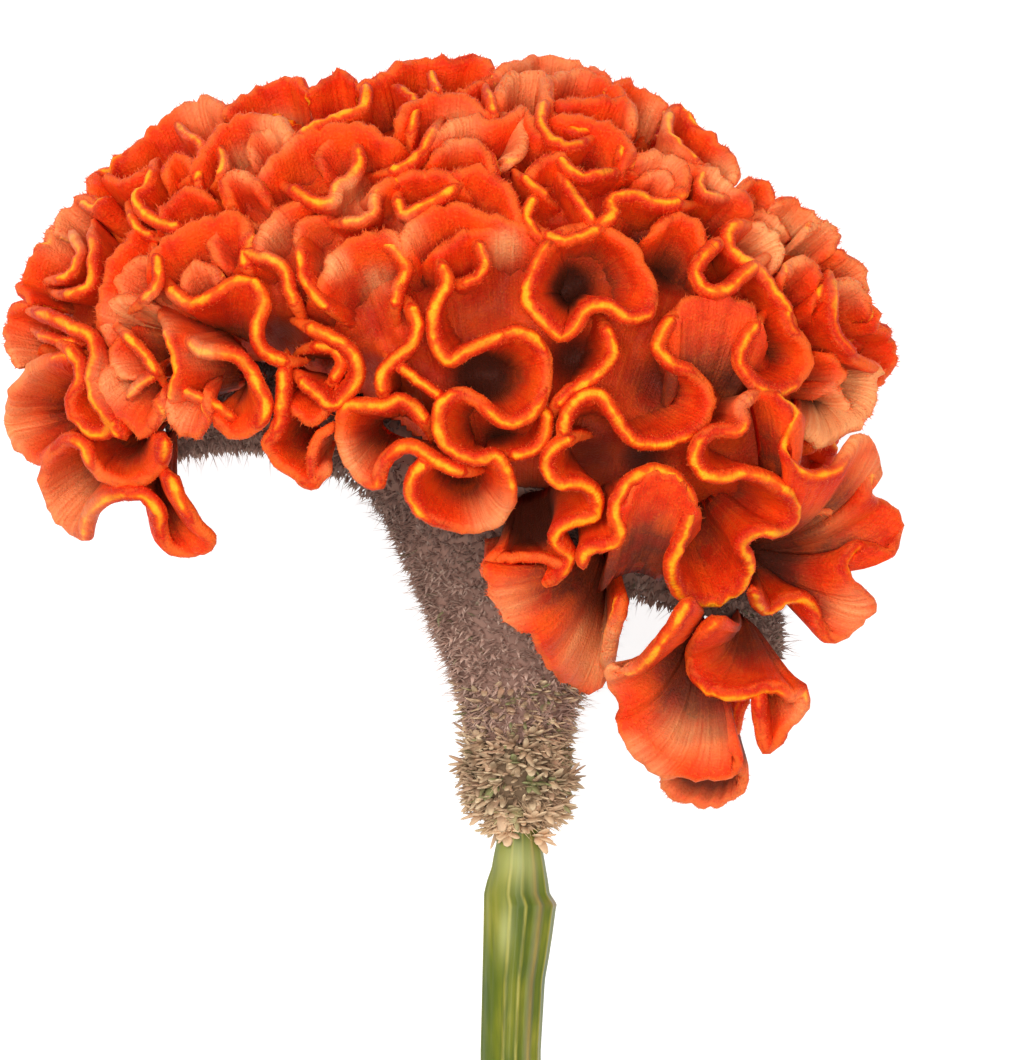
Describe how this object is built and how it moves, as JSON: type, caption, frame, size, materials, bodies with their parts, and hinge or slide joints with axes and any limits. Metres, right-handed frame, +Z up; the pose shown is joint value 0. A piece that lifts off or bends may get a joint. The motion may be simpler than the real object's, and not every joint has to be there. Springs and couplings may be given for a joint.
{
  "type": "cut cockscomb celosia flower",
  "caption": "Cut cockscomb flower: a wide orange-red crest of ruffled folds with a yellow ridge, on a chaffy brown neck and a ribbed green stalk, lying on its back.",
  "frame": {"origin": "on the ground, under the middle of the whole flower's box", "axes": "+Y along the flower from the cut end of its stalk to the top of its crest, +Z up, out of the flower's face; the flower lies on its back"},
  "size_m": [0.1518, 0.2288, 0.0769],
  "materials": {
    "stalk": "ribbed fresh green stalk, slightly waxy",
    "straw_florets": "dry papery florets",
    "chaff": "dry mauve-brown chaff",
    "crest": "velvety fleshy petals, orange-red with a yellow-orange edge"
  },
  "bodies": {
    "root": {"stem": "stalk", "collar": "straw_florets", "neck": "chaff", "comb": "crest"}
  },
  "joints": []
}
